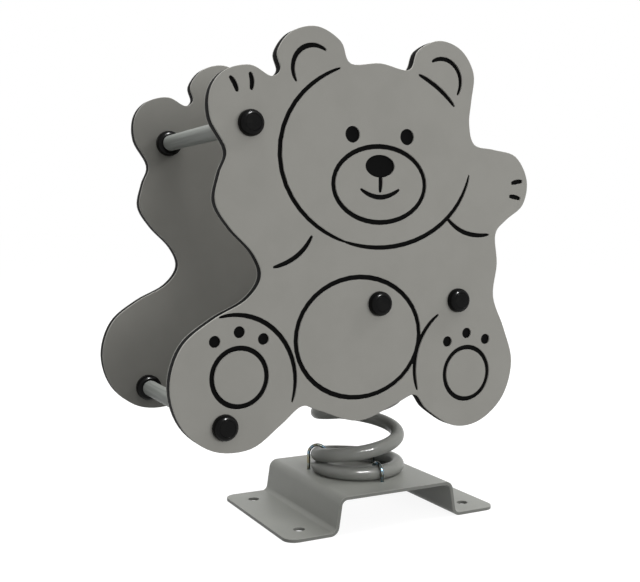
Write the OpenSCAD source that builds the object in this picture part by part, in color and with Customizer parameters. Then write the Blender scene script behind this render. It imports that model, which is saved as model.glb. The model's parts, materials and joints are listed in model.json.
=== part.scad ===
// Spring rider: two bear-shaped side panels with a seat, a handle bar and a foot bar between them,
// carried by one coil spring that is clipped to a bent ground plate.
// Millimetres, +Z up, +X towards the rider's back, -Y towards the rider's left.
// The origin lies on the ground under the spring's axis.

/* [Ground plate] */
// Length of the plate across its two flanges
plate_l = 420; // [390:1:460]
// Width of the plate along the channel
plate_w = 287; // [260:1:340]
// Thickness of the plate
plate_t = 6; // [4:0.5:10]
// Height of the channel's top above the ground
plateau_h = 64.5; // [55:0.5:90]
// Distance between the channel's walls at the top, outside
channel_w = 226; // [222:1:250]
// How far each wall leans out from top to bottom
wall_lean = 9; // [0:0.5:14]
// Bend radius at the middle of the sheet
plate_bend_r = 13; // [10:0.5:15]
// Radius of the flanges' corners
plate_corner_r = 22; // [10:1:30]
// Distance between the anchor holes across the channel
anchor_dx = 335; // [325:1:345]
// Distance between the anchor holes along the channel
anchor_dy = 195; // [150:1:220]
// Diameter of the anchor holes
anchor_d = 20; // [12:0.5:24]

/* [Coil spring] */
// Diameter of the spring's bar
wire_d = 25; // [22:0.5:26]
// Diameter of the coil at the middle of the bar
coil_d = 148; // [135:0.5:155]
// Number of turns
spring_turns = 4.95; // [4.5:0.05:5.2]
// Thickness of the bar's drawn-out tips, as a share of its diameter
tip_share = 0.54; // [0.52:0.01:0.7]
// How gradually the coil opens, in turns
opening_turns = 0.045; // [0.03:0.005:0.06]
// Angle at which the bar starts on the plate
spring_start = 140; // [130:1:145]

/* [Spring clips] */
// Diameter of the clips' rod
clip_rod_d = 6; // [5:0.5:8]
// Space between a clip's arch and the spring's bar
clip_gap = 0.9; // [0.9:0.05:1.2]
// Angle from the end of the bar to the clip that holds two turns
clip_lead = 10; // [8:1:15]

/* [Seat carrier] */
// Height of the carrier's floor above the ground, underside
carrier_floor_z = 351.5; // [335:0.5:365]
// Height of the carrier from its floor to its lips, outside
carrier_h = 66; // [60:1:80]
// Length of the carrier along the panels
carrier_l = 204; // [200:1:230]
// Thickness of the carrier's sheet
carrier_t = 6; // [4:0.5:8]
// Bend radius at the middle of the sheet
carrier_bend_r = 8; // [6:0.5:10]
// Width of the lips under the seat
lip_w = 50; // [45:1:60]
// Distance between the panel bolts along the carrier
carrier_bolt_dx = 152; // [140:1:170]
// Height of the panel bolts above the carrier's underside
carrier_bolt_h = 41; // [32:1:42]

/* [Seat board] */
// Length of the seat board
seat_l = 245; // [230:1:260]
// Thickness of the seat board
seat_t = 19; // [15:0.5:25]
// Space between the seat board and each panel
seat_gap = 8; // [3:0.5:12]
// Distance of the seat board's middle behind the spring's axis
seat_x = 28; // [15:1:35]
// Radius of the seat board's corners
seat_corner_r = 40; // [20:1:50]
// Distance between the seat bolts along the seat
seat_bolt_dx = 100; // [80:1:120]
// Distance of the seat bolts from the carrier's walls, outside
seat_bolt_inset = 30; // [28:0.5:32]
// Diameter of the seat bolts
seat_bolt_d = 8; // [6:0.5:8]

/* [Side panels] */
// Clear distance between the two panels
panel_gap = 371; // [345:1:400]
// Thickness of the panels
panel_t = 19; // [15:0.5:25]
// Width of the routed lines
groove_w = 8; // [5:0.5:10]
// Depth of the routed lines
groove_depth = 3.5; // [2:0.25:6]
// Radius of the ears
ear_r = 65; // [58:1:70]
// Radius of the paws
paw_r = 61; // [56:1:66]
// Half the width of the feet
foot_rx = 100; // [92:1:106]
// Half the height of the feet
foot_rz = 104; // [96:1:110]
// Half the width of the head
head_rx = 175; // [165:1:185]
// Half the height of the head
head_rz = 145; // [138:1:150]
// Radius of the foot pads
pad_r = 44; // [36:1:48]

/* [Bars] */
// Diameter of the bars' tube
tube_d = 28; // [25:0.5:32]
// Wall of the bars' tube
tube_wall = 2.5; // [1.5:0.25:3.5]
// Distance of the handle bar in front of the spring's axis
handle_reach = 297.5; // [285:0.5:310]
// Height of the handle bar above the ground
handle_z = 668; // [655:1:675]
// Distance of the foot bar in front of the spring's axis
foot_reach = 341.5; // [330:0.5:352]
// Height of the foot bar above the ground
foot_z = 218; // [210:1:225]
// Diameter of the collars round the tubes' ends
collar_d = 46; // [42:0.5:52]
// Thickness of the collars
collar_t = 15; // [10:0.5:18]
// Radius of the collars' rim
collar_rim_r = 8; // [4:0.5:9]
// Length of the threaded inserts in the tubes' ends
insert_l = 32; // [30:1:45]

/* [Bolts and caps] */
// Diameter of the panel bolts
bolt_d = 10; // [8:0.5:10]
// Length of bolt that goes into an insert
bolt_grip = 25; // [18:1:28]
// Diameter of the domed caps
cap_d = 40; // [38:0.5:46]
// Height of the domed caps
cap_h = 14; // [13.5:0.25:18]
// Wall of the domed caps
cap_wall = 2.4; // [1.5:0.1:2.6]
// Height of the caps' straight rim
cap_rim_h = 3; // [2:0.25:4]
// Diameter of the caps' flat front
cap_front_d = 25; // [20:0.5:28]
// Thickness of the bases under the caps
base_t = 3; // [2:0.25:3.5]

/* [Clearances] */
// Space between the spring and what it stands against
spring_gap = 0.3; // [0.2:0.05:0.6]
// Space between an end of the bar and the turn next to it
turn_gap = 0.8; // [0.7:0.05:1.5]
// Space all round a bolt in a plain hole
hole_gap = 0.5; // [0.3:0.1:0.8]
// Space all round a bolt in its nut or insert, and round an insert in its tube
thread_gap = 0.05; // [0.03:0.01:0.1]
// Space between the clips' washers and the plate's bends
washer_edge_gap = 1; // [0.5:0.25:2]
// Space between a cap and its base, and between a collar and its tube
snap_gap = 0.15; // [0.1:0.05:0.3]

/* [Hidden] */
$fn = 64;
// Extra length of a cut past the face that it opens
cut = 1;
// Steps in a bend, a rounded corner and a cap's shoulder
bend_steps = 8;
// Rings in a turn of the spring, and sides of its bar
rings_per_turn = 24;
wire_sides = 12;
// Points between two knots of the panel's outline, along a routed line and round an oval
outline_steps = 6;
line_steps = 24;
oval_steps = 40;
// Bolt ends stand this many thread diameters past their nuts
bolt_overhang = 0.3;
// Angle between the three clips at each end of the spring
clip_step = 120;
// Least flat ring between a collar's rounded rim and its tube
collar_land = 0.5;

SIDES = ["left", "right"];
handle_x = -handle_reach;
foot_x = -foot_reach;
carrier_bolt_z = carrier_floor_z + carrier_bolt_h;
BAR_PLACES = [["handle", handle_x, handle_z], ["foot", foot_x, foot_z]];
SEAT_PLACES = [
  ["seat_front", -carrier_bolt_dx / 2, carrier_bolt_z],
  ["seat_rear", carrier_bolt_dx / 2, carrier_bolt_z]
];
CAP_PLACES = concat(BAR_PLACES, SEAT_PLACES);

function cap_node(place, side) = str(place[0], "_cap_", side);
function collar_node(place, side) = str(place[0], "_collar_", side);

// Colours of the finishes
paint_grey = [0.56, 0.56, 0.54];
sheet_grey = [0.54, 0.535, 0.515];
spring_grey = [0.45, 0.45, 0.44];
zinc = [0.72, 0.73, 0.75];
tube_steel = [0.6, 0.61, 0.6];
cap_black = [0.09, 0.09, 0.09];
insert_steel = [0.5, 0.5, 0.52];

// Standard hexagon and washer sizes for a thread of diameter d
function hex_flats(d) = 1.65 * d;
function hex_corners(d) = hex_flats(d) / cos(30);
function head_h(d) = 0.64 * d;
function nut_h(d) = 0.84 * d;
function washer_d(d) = 2.1 * d;
function washer_t(d) = 0.2 * d;
function mushroom_d(d) = 2.5 * d;
function mushroom_h(d) = 0.55 * d;

// Plane geometry
function unit(v) = v / norm(v);
function left_of(v) = [-v[1], v[0]];
function turned(v, a) = [v[0] * cos(a) - v[1] * sin(a), v[0] * sin(a) + v[1] * cos(a)];
function cross_2d(a, b) = a[0] * b[1] - a[1] * b[0];
function reversed(list) = [for (i = [len(list) - 1 : -1 : 0]) list[i]];
function on_oval(c, rx, rz, a) = [c[0] + rx * cos(a), c[1] + rz * sin(a)];
function oval(c, rx, rz) = [for (i = [0 : oval_steps - 1]) on_oval(c, rx, rz, 360 * i / oval_steps)];

// A bent sheet's outline. path is the middle line with sharp corners, and r its bend radius.
// Each entry of bend_stations is a point on the middle line and the direction there.
function corner_stations(a, b, c, r) =
  let (
    d0 = unit(b - a),
    d1 = unit(c - b),
    s = sign(cross_2d(d0, d1)),
    bend = acos(d0 * d1),
    start = b - d0 * r * tan(bend / 2),
    centre = start + left_of(d0) * s * r
  )
  [for (k = [0 : bend_steps])
    let (d = turned(d0, s * bend * k / bend_steps)) [centre - left_of(d) * s * r, d]];
function bend_stations(path, r) =
  let (n = len(path))
  concat(
    [[path[0], unit(path[1] - path[0])]],
    [for (i = [1 : n - 2]) each corner_stations(path[i - 1], path[i], path[i + 1], r)],
    [[path[n - 1], unit(path[n - 1] - path[n - 2])]]
  );
function bent_sheet(path, r, t) =
  let (stations = bend_stations(path, r))
  concat(
    [for (q = stations) q[0] + left_of(q[1]) * t / 2],
    reversed([for (q = stations) q[0] - left_of(q[1]) * t / 2])
  );

// A block with rounded upright edges, centred on the Z axis, from z = 0 up
module rounded_block(l, w, h, r) {
  translate([-l / 2 + r, -w / 2, 0]) cube([l - 2 * r, w, h]);
  translate([-l / 2, -w / 2 + r, 0]) cube([l, w - 2 * r, h]);
  for (x = [-1, 1], y = [-1, 1])
    translate([x * (l / 2 - r), y * (w / 2 - r), 0]) cylinder(h = h, r = r);
}

// Fasteners stand on z = 0 with their axis along Z
module washer(d) {
  difference() {
    cylinder(h = washer_t(d), d = washer_d(d));
    translate([0, 0, -cut]) cylinder(h = washer_t(d) + 2 * cut, r = d / 2 + hole_gap);
  }
}
module nut(d) {
  difference() {
    cylinder(h = nut_h(d), d = hex_corners(d), $fn = 6);
    translate([0, 0, -cut]) cylinder(h = nut_h(d) + 2 * cut, r = d / 2 + thread_gap);
  }
}
// A bolt's head stands on z = 0 and its shank goes down from there
module hex_bolt(d, l) {
  cylinder(h = head_h(d), d = hex_corners(d), $fn = 6);
  translate([0, 0, -l]) cylinder(h = l + head_h(d) / 2, d = d);
}
module mushroom_bolt(d, l) {
  r = mushroom_d(d) / 2;
  h = mushroom_h(d);
  crown = [for (i = [0 : bend_steps]) [r * cos(90 * i / bend_steps), h * sin(90 * i / bend_steps)]];
  rotate_extrude() polygon(concat([[0, 0]], [for (p = crown) [max(p[0], 0), p[1]]]));
  translate([0, 0, -l]) cylinder(h = l + h / 2, d = d);
}

// Places on the panels. Local +Z points out of an outer face, or into the space between the panels.
module on_side(side) {
  if (side == "left") children();
  else mirror([0, 1, 0]) children();
}
module on_outer_face(place) {
  translate([place[1], -panel_gap / 2 - panel_t, place[2]]) rotate([90, 0, 0]) children();
}
module on_inner_face(place) {
  translate([place[1], -panel_gap / 2, place[2]]) rotate([-90, 0, 0]) children();
}

// Ground plate
flange_mid_z = plate_t / 2;
wall_top_x = channel_w / 2 - plate_t / 2;
plate_path = [
  [-plate_l / 2, flange_mid_z],
  [-wall_top_x - wall_lean, flange_mid_z],
  [-wall_top_x, plateau_h - plate_t / 2],
  [wall_top_x, plateau_h - plate_t / 2],
  [wall_top_x + wall_lean, flange_mid_z],
  [plate_l / 2, flange_mid_z]
];
// Half the width of the flat between the bends under the channel's top
flat_half = wall_top_x - plate_bend_r * tan(atan2(plateau_h - plate_t, wall_lean) / 2);

// Where the clips hold the spring. In a narrow channel the side clips, and the bar's end with them,
// turn towards the channel's ends, so that their outer washers stay on the flat.
coil_r = coil_d / 2;
wire_r = wire_d / 2;
clip_r = wire_r + clip_gap + clip_rod_d / 2;
outer_leg_x = flat_half - washer_d(clip_rod_d) / 2 - washer_edge_gap;
least_side_angle = acos(min(1, outer_leg_x / (coil_r + clip_r)));
first_clip = spring_start + clip_lead;
clip_turn = max(
  0,
  first_clip + least_side_angle - 180,
  360 - 2 * clip_step + least_side_angle - first_clip
);
bar_start = spring_start - clip_turn;
BASE_CLIP_ANGLES = [
  first_clip - clip_turn,
  first_clip + clip_step,
  first_clip + 2 * clip_step + clip_turn
];

// Coil spring. The bar lies flat for most of a turn at both ends, and rises steadily between.
// After one full turn it has risen by the thickness of its drawn-out tip.
wire_foot_z = plateau_h + spring_gap + wire_r;
wire_head_z = carrier_floor_z - spring_gap - wire_r;
spring_rise = wire_head_z - wire_foot_z;
first_turn_rise = tip_share * wire_d + turn_gap;
closed_turns = (spring_rise - spring_turns * first_turn_rise) / (spring_rise - 2 * first_turn_rise);
function softened(turn, knee) = opening_turns * ln(1 + exp((turn - knee) / opening_turns));
function raw_rise(turn) = softened(turn, closed_turns) - softened(turn, spring_turns - closed_turns);
function wire_z(turn) =
  wire_foot_z
  + spring_rise * (raw_rise(turn) - raw_rise(0)) / (raw_rise(spring_turns) - raw_rise(0));
function wire_angle(turn) = bar_start + 360 * turn;
function wire_point(turn) =
  [coil_r * cos(wire_angle(turn)), coil_r * sin(wire_angle(turn)), wire_z(turn)];
ring_count = round(spring_turns * rings_per_turn);
function ring_turn(i) = spring_turns * i / ring_count;
wire_points = [for (i = [0 : ring_count]) wire_point(ring_turn(i))];
// The lower end is drawn down at its top, and the upper end at its underside
function room_over(turn) = wire_z(turn + 1) - wire_z(turn) - wire_r - turn_gap;
heights_up = [for (i = [0 : ring_count])
  let (turn = ring_turn(i)) turn < 1 ? min(wire_r, room_over(turn)) : wire_r];
heights_down = [for (i = [0 : ring_count])
  let (turn = ring_turn(i)) turn > spring_turns - 1 ? min(wire_r, room_over(turn - 1)) : wire_r];
function wire_direction(i) =
  unit(wire_points[min(i + 1, ring_count)] - wire_points[max(i - 1, 0)]);
function wire_ring(i) =
  let (
    a = wire_angle(ring_turn(i)),
    outward = [cos(a), sin(a), 0],
    upward = unit(cross(wire_direction(i), -outward)),
    level = unit(cross(upward, wire_direction(i)))
  )
  [for (k = [0 : wire_sides - 1])
    let (
      b = 360 * k / wire_sides,
      height = sin(b) > 0 ? heights_up[i] : heights_down[i]
    )
    wire_points[i] + wire_r * cos(b) * level + height * sin(b) * upward];
function wire_gap() =
  min([for (i = [0 : ring_count - rings_per_turn / 2])
    for (j = [i + rings_per_turn / 2 : 1 : ring_count])
      norm(wire_points[i] - wire_points[j]) - heights_up[i] - heights_down[j]]);
echo(least_gap_between_turns = wire_gap());

// Spring clips. A clip is its angle and the height of its arch's middle.
// The first clip at each end goes over two turns.
top_end_angle = wire_angle(spring_turns);
TOP_CLIP_ANGLES = [for (k = [0 : 2]) top_end_angle - clip_lead - clip_step * k];
BASE_CLIPS = [for (k = [0 : 2])
  let (turn = (BASE_CLIP_ANGLES[k] - bar_start) / 360)
  [BASE_CLIP_ANGLES[k], wire_z(k == 0 ? turn + 1 : turn)]];
TOP_CLIPS = [for (k = [0 : 2])
  let (turn = spring_turns - (top_end_angle - TOP_CLIP_ANGLES[k]) / 360)
  [TOP_CLIP_ANGLES[k], wire_z(k == 0 ? turn - 1 : turn)]];
clip_thread = washer_t(clip_rod_d) + nut_h(clip_rod_d) + bolt_overhang * clip_rod_d;
base_leg_z = plateau_h - plate_t - clip_thread;
top_leg_z = carrier_floor_z + carrier_t + clip_thread;

module at_clip_legs(clips) {
  for (clip = clips, s = [-1, 1])
    rotate([0, 0, clip[0]]) translate([coil_r + s * clip_r, 0, 0]) children();
}
module u_clip(clip, leg_z) {
  up = leg_z < clip[1] ? 0 : 1;
  rotate([0, 0, clip[0]]) translate([coil_r, 0, clip[1]]) mirror([0, 0, up]) {
    rotate([90, 0, 0]) rotate_extrude(angle = 180) translate([clip_r, 0]) circle(d = clip_rod_d);
    for (s = [-1, 1])
      translate([s * clip_r, 0, -abs(leg_z - clip[1])])
        cylinder(h = abs(leg_z - clip[1]), d = clip_rod_d);
  }
}

// Seat carrier and seat board
carrier_w = panel_gap;
carrier_side_y = carrier_w / 2 - carrier_t / 2;
carrier_top_z = carrier_floor_z + carrier_h;
lip_mid_z = carrier_top_z - carrier_t / 2;
carrier_path = [
  [-carrier_w / 2 + lip_w, lip_mid_z],
  [-carrier_side_y, lip_mid_z],
  [-carrier_side_y, carrier_floor_z + carrier_t / 2],
  [carrier_side_y, carrier_floor_z + carrier_t / 2],
  [carrier_side_y, lip_mid_z],
  [carrier_w / 2 - lip_w, lip_mid_z]
];
seat_w = panel_gap - 2 * seat_gap;
seat_bolt_y = carrier_w / 2 - seat_bolt_inset;
seat_thread = washer_t(seat_bolt_d) + nut_h(seat_bolt_d) + bolt_overhang * seat_bolt_d;
module at_seat_bolts(z) {
  for (x = [-1, 1], y = [-1, 1])
    translate([x * seat_bolt_dx / 2, y * seat_bolt_y, z]) children();
}

// The panel's figure: a plain seated bear with one paw raised, seen from outside.
// The raised paw goes round the handle bar, and the front foot round the foot bar.
head_c = [-75, 627];
front_ear = head_c + [-117, 127];
rear_ear = head_c + [117, 125];
raised_paw = [handle_x - 4.5, handle_z + 24];
elbow = raised_paw + [9, -130];
rear_paw = [160, 585];
front_foot = [foot_x + 16.5, foot_z + 63];
rear_foot = [92, 282];
belly_c = [-112, 340];
lap_rx = 128;
lap_rz = 134;
function round_part(c, rx, rz, angles) = [for (a = angles) on_oval(c, rx, rz, a)];
outline_knots = concat(
  round_part(rear_ear, ear_r, ear_r, [-25, 15, 55, 95, 135, 168]),
  [head_c + [0, head_rz]],
  round_part(front_ear, ear_r, ear_r, [12, 45, 85, 125, 160]),
  [raised_paw + [54, 58], raised_paw + [38, 47]],
  round_part(raised_paw, paw_r, paw_r, [85, 125, 160, 200]),
  [raised_paw + [-33, -65]],
  round_part(elbow, paw_r, paw_r, [150, 190, 232]),
  [[-294, 476], [-281, 440], [-306, 406]],
  round_part(front_foot, foot_rx, foot_rz, [110, 145, 180, 215, 250, 285, 318]),
  [belly_c + [-lap_rx + 26, -lap_rz + 32]],
  round_part(belly_c, lap_rx, lap_rz, [236, 270, 304]),
  [belly_c + [lap_rx - 22, -lap_rz + 33]],
  round_part(rear_foot, foot_rx, foot_rz, [222, 258, 290, 325, 0, 35]),
  [[151, 396], [158, 452], [154, 502]],
  round_part(rear_paw, paw_r, paw_r, [285, 328, 10, 55, 100]),
  [[108, 652], [97, 686]]
);
function between(a, b, c, d, t) =
  b + ((c - a) * t + (2 * a - 5 * b + 4 * c - d) * t * t + (3 * b - a - 3 * c + d) * t * t * t) / 2;
function closed_curve(p) =
  let (n = len(p))
  [for (i = [0 : n - 1], k = [0 : outline_steps - 1])
    between(p[(i + n - 1) % n], p[i], p[(i + 1) % n], p[(i + 2) % n], k / outline_steps)];

// Routed lines. Steps along a line close up towards its ends, where it narrows to a round tip.
function eased(i) = (1 - cos(180 * i / line_steps)) / 2;
function arc_line(c, rx, rz, a0, a1) =
  [for (i = [0 : line_steps]) on_oval(c, rx, rz, a0 + (a1 - a0) * eased(i))];
function bow_line(a, b, c) =
  [for (i = [0 : line_steps])
    let (t = eased(i)) (1 - t) * (1 - t) * a + 2 * t * (1 - t) * b + t * t * c];
function line_normal(p, i) = left_of(unit(p[min(i + 1, len(p) - 1)] - p[max(i - 1, 0)]));
function half_width(i) = groove_w / 2 * sqrt(sin(180 * i / line_steps));
function brush_line(p) =
  concat(
    [for (i = [0 : line_steps]) p[i] + line_normal(p, i) * half_width(i)],
    [for (i = [line_steps - 1 : -1 : 1]) p[i] - line_normal(p, i) * half_width(i)]
  );

muzzle_c = head_c + [0, -45];
muzzle_rx = 84;
muzzle_rz = 60;
nose_c = head_c + [0, -16];
nose_rx = 27;
nose_rz = 18;
belly_rx = 112;
belly_rz = 96;
front_pad = front_foot + [8, 10];
rear_pad = rear_foot + [4, -14];
toe_reach = pad_r + 24;
toe_r = 9;
TOE_ANGLES = [55, 90, 125];
eye_r = 13;
eye_dx = 50;
eye_dz = 32;
inner_ear_r = 36;
LINES = [
  arc_line(front_ear, inner_ear_r, inner_ear_r, 55, 215),
  arc_line(rear_ear, inner_ear_r, inner_ear_r, 125, -35),
  arc_line(head_c, head_rx, head_rz, 114, 250),
  arc_line(head_c, head_rx, head_rz, 248, 350),
  arc_line(head_c, head_rx, head_rz, 66, 36),
  bow_line(nose_c + [0, -10], nose_c + [2, -26], nose_c + [0, -42]),
  bow_line(nose_c + [-36, -36], nose_c + [0, -62], nose_c + [36, -36]),
  arc_line(front_foot, foot_rx, foot_rz, -20, 104),
  arc_line(rear_foot, foot_rx, foot_rz, 200, 122),
  bow_line([-262, 454], [-214, 464], [-196, 502]),
  bow_line([140, 502], [84, 494], [52, 532]),
  bow_line(raised_paw + [4, 50], raised_paw + [10, 38], raised_paw + [6, 24]),
  bow_line(raised_paw + [-28, 42], raised_paw + [-18, 33], raised_paw + [-16, 20]),
  bow_line(rear_paw + [46, -22], rear_paw + [34, -18], rear_paw + [22, -18]),
  bow_line(rear_paw + [50, 8], rear_paw + [38, 8], rear_paw + [26, 4])
];
RINGS = [[muzzle_c, muzzle_rx, muzzle_rz], [belly_c, belly_rx, belly_rz]];
PADS = [front_pad, rear_pad];

module panel_prism(points, from_outside, depth) {
  translate([0, -panel_gap / 2 - panel_t + from_outside + depth, 0])
    rotate([90, 0, 0]) linear_extrude(depth) polygon(points);
}
module route(points) panel_prism(points, -cut, groove_depth + cut);
module route_dot(c, r) {
  translate([c[0], -panel_gap / 2 - panel_t + groove_depth, c[1]])
    rotate([90, 0, 0]) cylinder(h = groove_depth + cut, r = r);
}
module route_ring(c, rx, rz) {
  difference() {
    route(oval(c, rx + groove_w / 2, rz + groove_w / 2));
    panel_prism(oval(c, rx - groove_w / 2, rz - groove_w / 2), -2 * cut, groove_depth + 3 * cut);
  }
}
module route_pad(c) {
  difference() {
    route_dot(c, pad_r + groove_w / 2);
    translate([c[0], -panel_gap / 2 - panel_t + groove_depth + cut, c[1]])
      rotate([90, 0, 0]) cylinder(h = groove_depth + 3 * cut, r = pad_r - groove_w / 2);
  }
  for (a = TOE_ANGLES) route_dot(on_oval(c, toe_reach, toe_reach, a), toe_r);
}
module panel() {
  difference() {
    panel_prism(closed_curve(outline_knots), 0, panel_t);
    for (line = LINES) route(brush_line(line));
    for (ring = RINGS) route_ring(ring[0], ring[1], ring[2]);
    for (pad = PADS) route_pad(pad);
    for (s = [-1, 1]) route_dot(head_c + [s * eye_dx, eye_dz], eye_r);
    route(oval(nose_c, nose_rx, nose_rz));
    for (place = CAP_PLACES)
      on_outer_face(place) translate([0, 0, -panel_t - cut])
        cylinder(h = panel_t + 2 * cut, r = bolt_d / 2 + hole_gap);
  }
}

// Caps, collars and bars
module cap_shoulder(foot_r, foot_h, front_r, front_h) {
  shoulder = [for (i = [0 : bend_steps])
    let (a = 90 * i / bend_steps)
    [front_r + (foot_r - front_r) * cos(a), foot_h + (front_h - foot_h) * sin(a)]];
  rotate_extrude() polygon(concat([[0, 0], [foot_r, 0]], shoulder, [[0, front_h]]));
}
base_r = cap_d / 2 - cap_wall - snap_gap;
carrier_bolt_l = base_t + panel_t + carrier_t + nut_h(bolt_d) + bolt_overhang * bolt_d;
bar_bolt_l = base_t + panel_t + bolt_grip;
module dome_cap(place, side) {
  color(cap_black) on_side(side) on_outer_face(place) difference() {
    cap_shoulder(cap_d / 2, cap_rim_h, cap_front_d / 2, cap_h);
    translate([0, 0, -cut]) cap_shoulder(
      cap_d / 2 - cap_wall, cap_rim_h + cut, cap_front_d / 2 - cap_wall / 2, cap_h - cap_wall + cut
    );
  }
}
module bar(place) {
  translate([place[1], 0, place[2]]) rotate([90, 0, 0]) difference() {
    cylinder(h = panel_gap, d = tube_d, center = true);
    cylinder(h = panel_gap + 2 * cut, d = tube_d - 2 * tube_wall, center = true);
  }
}
module bar_inserts(place) {
  color(insert_steel) for (side = SIDES) on_side(side) on_inner_face(place) difference() {
    cylinder(h = insert_l, r = tube_d / 2 - tube_wall - thread_gap);
    translate([0, 0, -cut]) cylinder(h = insert_l + 2 * cut, r = bolt_d / 2 + thread_gap);
  }
}
collar_round = min(collar_rim_r, collar_d / 2 - tube_d / 2 - snap_gap - collar_land);
module collar(place, side) {
  color(cap_black) on_side(side) on_inner_face(place) difference() {
    cap_shoulder(collar_d / 2, collar_t - collar_round, collar_d / 2 - collar_round, collar_t);
    translate([0, 0, -cut]) cylinder(h = collar_t + 2 * cut, r = tube_d / 2 + snap_gap);
  }
}

// One module for each node
module ground_plate() {
  color(paint_grey) difference() {
    intersection() {
      rotate([90, 0, 0]) linear_extrude(plate_w, center = true)
        polygon(bent_sheet(plate_path, plate_bend_r, plate_t));
      translate([0, 0, -cut]) rounded_block(plate_l, plate_w, plateau_h + 2 * cut, plate_corner_r);
    }
    for (x = [-1, 1], y = [-1, 1])
      translate([x * anchor_dx / 2, y * anchor_dy / 2, -cut])
        cylinder(h = plate_t + 2 * cut, d = anchor_d);
    at_clip_legs(BASE_CLIPS) translate([0, 0, plateau_h - plate_t - cut])
      cylinder(h = plate_t + 2 * cut, r = clip_rod_d / 2 + hole_gap);
  }
}
module base_clips() {
  color(zinc) for (clip = BASE_CLIPS) u_clip(clip, base_leg_z);
}
module base_clip_washers() {
  color(zinc) at_clip_legs(BASE_CLIPS)
    translate([0, 0, plateau_h - plate_t - washer_t(clip_rod_d)]) washer(clip_rod_d);
}
module base_clip_nuts() {
  color(zinc) at_clip_legs(BASE_CLIPS)
    translate([0, 0, plateau_h - plate_t - washer_t(clip_rod_d) - nut_h(clip_rod_d)]) nut(clip_rod_d);
}
module coil_spring() {
  rings = [for (i = [0 : ring_count]) each wire_ring(i)];
  last = ring_count * wire_sides;
  sides = [for (i = [0 : ring_count - 1], k = [0 : wire_sides - 1])
    let (
      a = i * wire_sides + k,
      b = i * wire_sides + (k + 1) % wire_sides,
      c = a + wire_sides,
      d = b + wire_sides
    )
    each [[a, b, d], [a, d, c]]];
  start_cap = [for (k = [1 : wire_sides - 2]) [0, k + 1, k]];
  end_cap = [for (k = [1 : wire_sides - 2]) [last, last + k, last + k + 1]];
  color(spring_grey) polyhedron(points = rings, faces = concat(sides, start_cap, end_cap));
}
module seat_carrier() {
  color(paint_grey) difference() {
    rotate([90, 0, 90]) linear_extrude(carrier_l, center = true)
      polygon(bent_sheet(carrier_path, carrier_bend_r, carrier_t));
    at_clip_legs(TOP_CLIPS) translate([0, 0, carrier_floor_z - cut])
      cylinder(h = carrier_t + 2 * cut, r = clip_rod_d / 2 + hole_gap);
    at_seat_bolts(carrier_top_z - carrier_t - cut)
      cylinder(h = carrier_t + 2 * cut, r = seat_bolt_d / 2 + hole_gap);
    for (side = SIDES, place = SEAT_PLACES)
      on_side(side) on_inner_face(place) translate([0, 0, -cut])
        cylinder(h = carrier_t + 2 * cut, r = bolt_d / 2 + hole_gap);
  }
}
module top_clips() {
  color(zinc) for (clip = TOP_CLIPS) u_clip(clip, top_leg_z);
}
module top_clip_washers() {
  color(zinc) at_clip_legs(TOP_CLIPS)
    translate([0, 0, carrier_floor_z + carrier_t]) washer(clip_rod_d);
}
module top_clip_nuts() {
  color(zinc) at_clip_legs(TOP_CLIPS)
    translate([0, 0, carrier_floor_z + carrier_t + washer_t(clip_rod_d)]) nut(clip_rod_d);
}
module seat_board() {
  color(sheet_grey) difference() {
    translate([seat_x, 0, carrier_top_z]) rounded_block(seat_l, seat_w, seat_t, seat_corner_r);
    at_seat_bolts(carrier_top_z - cut) cylinder(h = seat_t + 2 * cut, r = seat_bolt_d / 2 + hole_gap);
  }
}
module seat_bolts() {
  color(zinc) at_seat_bolts(carrier_top_z + seat_t)
    mushroom_bolt(seat_bolt_d, seat_t + carrier_t + seat_thread);
}
module seat_bolt_washers() {
  color(zinc) at_seat_bolts(carrier_top_z - carrier_t - washer_t(seat_bolt_d)) washer(seat_bolt_d);
}
module seat_bolt_nuts() {
  color(zinc) at_seat_bolts(carrier_top_z - carrier_t - washer_t(seat_bolt_d) - nut_h(seat_bolt_d))
    nut(seat_bolt_d);
}
module left_panel() color(sheet_grey) on_side("left") panel();
module right_panel() color(sheet_grey) on_side("right") panel();
module handle_bar() color(tube_steel) bar(BAR_PLACES[0]);
module foot_bar() color(tube_steel) bar(BAR_PLACES[1]);
module handle_inserts() bar_inserts(BAR_PLACES[0]);
module foot_inserts() bar_inserts(BAR_PLACES[1]);
module bar_bolts() {
  color(zinc) for (side = SIDES, place = BAR_PLACES)
    on_side(side) on_outer_face(place) translate([0, 0, base_t]) hex_bolt(bolt_d, bar_bolt_l);
}
module carrier_bolts() {
  color(zinc) for (side = SIDES, place = SEAT_PLACES)
    on_side(side) on_outer_face(place) translate([0, 0, base_t]) hex_bolt(bolt_d, carrier_bolt_l);
}
module carrier_nuts() {
  color(zinc) for (side = SIDES, place = SEAT_PLACES)
    on_side(side) on_inner_face(place) translate([0, 0, carrier_t]) nut(bolt_d);
}
module cap_bases() {
  color(cap_black) for (side = SIDES, place = CAP_PLACES)
    on_side(side) on_outer_face(place) difference() {
      cylinder(h = base_t, r = base_r);
      translate([0, 0, -cut]) cylinder(h = base_t + 2 * cut, r = bolt_d / 2 + hole_gap);
    }
}

ground_plate();
base_clips();
base_clip_washers();
base_clip_nuts();
coil_spring();
seat_carrier();
top_clips();
top_clip_washers();
top_clip_nuts();
seat_board();
seat_bolts();
seat_bolt_washers();
seat_bolt_nuts();
left_panel();
right_panel();
handle_bar();
foot_bar();
handle_inserts();
foot_inserts();
bar_bolts();
carrier_bolts();
carrier_nuts();
cap_bases();
for (place = BAR_PLACES, side = SIDES)
  collar(place, side);
for (place = CAP_PLACES, side = SIDES)
  dome_cap(place, side);
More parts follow.
